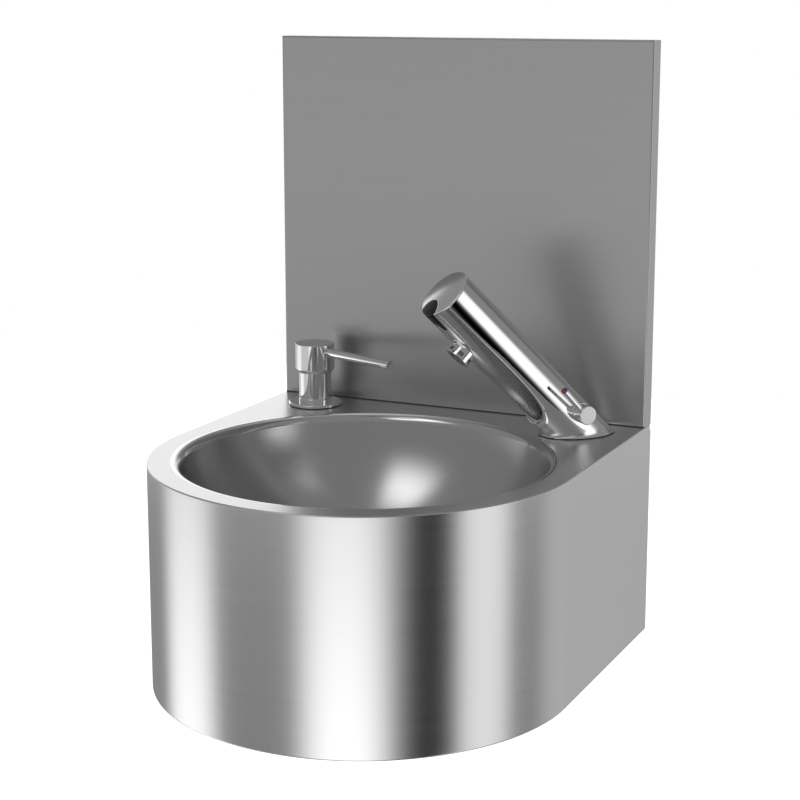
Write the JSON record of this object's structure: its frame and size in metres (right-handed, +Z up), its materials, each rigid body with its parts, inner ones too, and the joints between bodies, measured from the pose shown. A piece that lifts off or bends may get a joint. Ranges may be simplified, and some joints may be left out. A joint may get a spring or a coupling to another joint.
{
  "type": "hand wash sink",
  "caption": "Wall-hung steel hand wash sink: round bowl in a D-shaped deck, open skirt, splashback, push soap pump with a swinging spout, and a slanted sensor tap with a side temperature lever.",
  "frame": {"origin": "on the wall plane, on the basin's centre line, level with the deck's top face", "axes": "+X along the wall to the right as the user sees it, +Y into the wall, +Z up"},
  "size_m": [0.4, 0.4349, 0.589],
  "materials": {
    "basin_steel": "fine brushed grain",
    "splash_steel": "fine satin grain",
    "plain_steel": "plain mill finish",
    "polished_steel": "polished",
    "chrome": "bright chrome plate",
    "window_plastic": "dark gloss",
    "sensor_plastic": "moulded",
    "hot_red": "gloss",
    "cold_blue": "gloss",
    "pump_plastic": "moulded",
    "bottle_plastic": "milky",
    "valve_plastic": "moulded",
    "waste_plastic": "moulded",
    "spring_steel": "bright",
    "brass": "machined",
    "seal_rubber": "matt",
    "bitumen_pad": "matt"
  },
  "bodies": {
    "basin": {"deck": "basin_steel", "bowl": "basin_steel", "skirt": "basin_steel", "splashback": "splash_steel", "splash_stiffeners": "plain_steel", "hook_rail": "plain_steel", "wall_rail": "plain_steel", "wall_plate": "plain_steel", "pump_washer": "plain_steel", "tap_clamp_plate": "plain_steel", "tap_stud": "plain_steel", "tap_nut": "plain_steel", "waste_strainer": "polished_steel", "waste_screw": "polished_steel", "pump_rose": "chrome", "pump_collar": "chrome", "tap_body": "chrome", "tap_cap": "chrome", "aerator_housing": "chrome", "sensor_window": "window_plastic", "sensor_module": "sensor_plastic", "solenoid_valve": "sensor_plastic", "pump_cylinder": "pump_plastic", "pump_nut": "pump_plastic", "soap_bottle": "bottle_plastic", "pump_dip_tube": "bottle_plastic", "aerator_insert": "valve_plastic", "mixing_cartridge": "valve_plastic", "waste_body": "waste_plastic", "cartridge_nut": "brass", "water_tube": "brass", "hot_supply_tail": "brass", "cold_supply_tail": "brass", "waste_seal": "seal_rubber", "waste_gasket": "seal_rubber", "pump_rose_seal": "seal_rubber", "aerator_seal": "seal_rubber", "tap_base_seal": "seal_rubber", "tap_clamp_gasket": "seal_rubber", "sound_pad": "bitumen_pad"},
    "pump_plunger": {"pump_rod": "pump_plastic", "pump_piston_seal": "seal_rubber", "pump_spring": "spring_steel"},
    "pump_head": {"pump_cap": "chrome", "pump_core": "pump_plastic", "pump_spout": "chrome", "pump_liner": "pump_plastic"},
    "pump_check_ball": {"pump_ball": "spring_steel"},
    "temperature_control": {"cartridge_spindle": "brass", "temperature_knob": "chrome", "knob_grub_screw": "plain_steel", "temperature_lever": "chrome", "hot_mark": "hot_red", "cold_mark": "cold_blue"}
  },
  "joints": [
    {"name": "pump_press", "type": "slide", "parent": "basin", "child": "pump_plunger", "axis": [0, 0, -1], "range_m": [0, 0.012], "stiffness_N_per_m": 400, "springref_m": -0.012, "deforming": ["pump_spring"]},
    {"name": "pump_spout_swing", "type": "hinge", "parent": "pump_plunger", "child": "pump_head", "pos_m": [-0.143, -0.0613, 0.05], "axis": [0, 0, 1], "range_deg": [-175, 36]},
    {"name": "pump_ball_lift", "type": "slide", "parent": "basin", "child": "pump_check_ball", "axis": [0, 0, 1], "range_m": [0, 0.0015]},
    {"name": "temperature_turn", "type": "hinge", "parent": "basin", "child": "temperature_control", "pos_m": [0.16392, -0.09402, 0.02581], "axis": [0.7782, -0.628, 0], "range_deg": [-45, 45]}
  ]
}
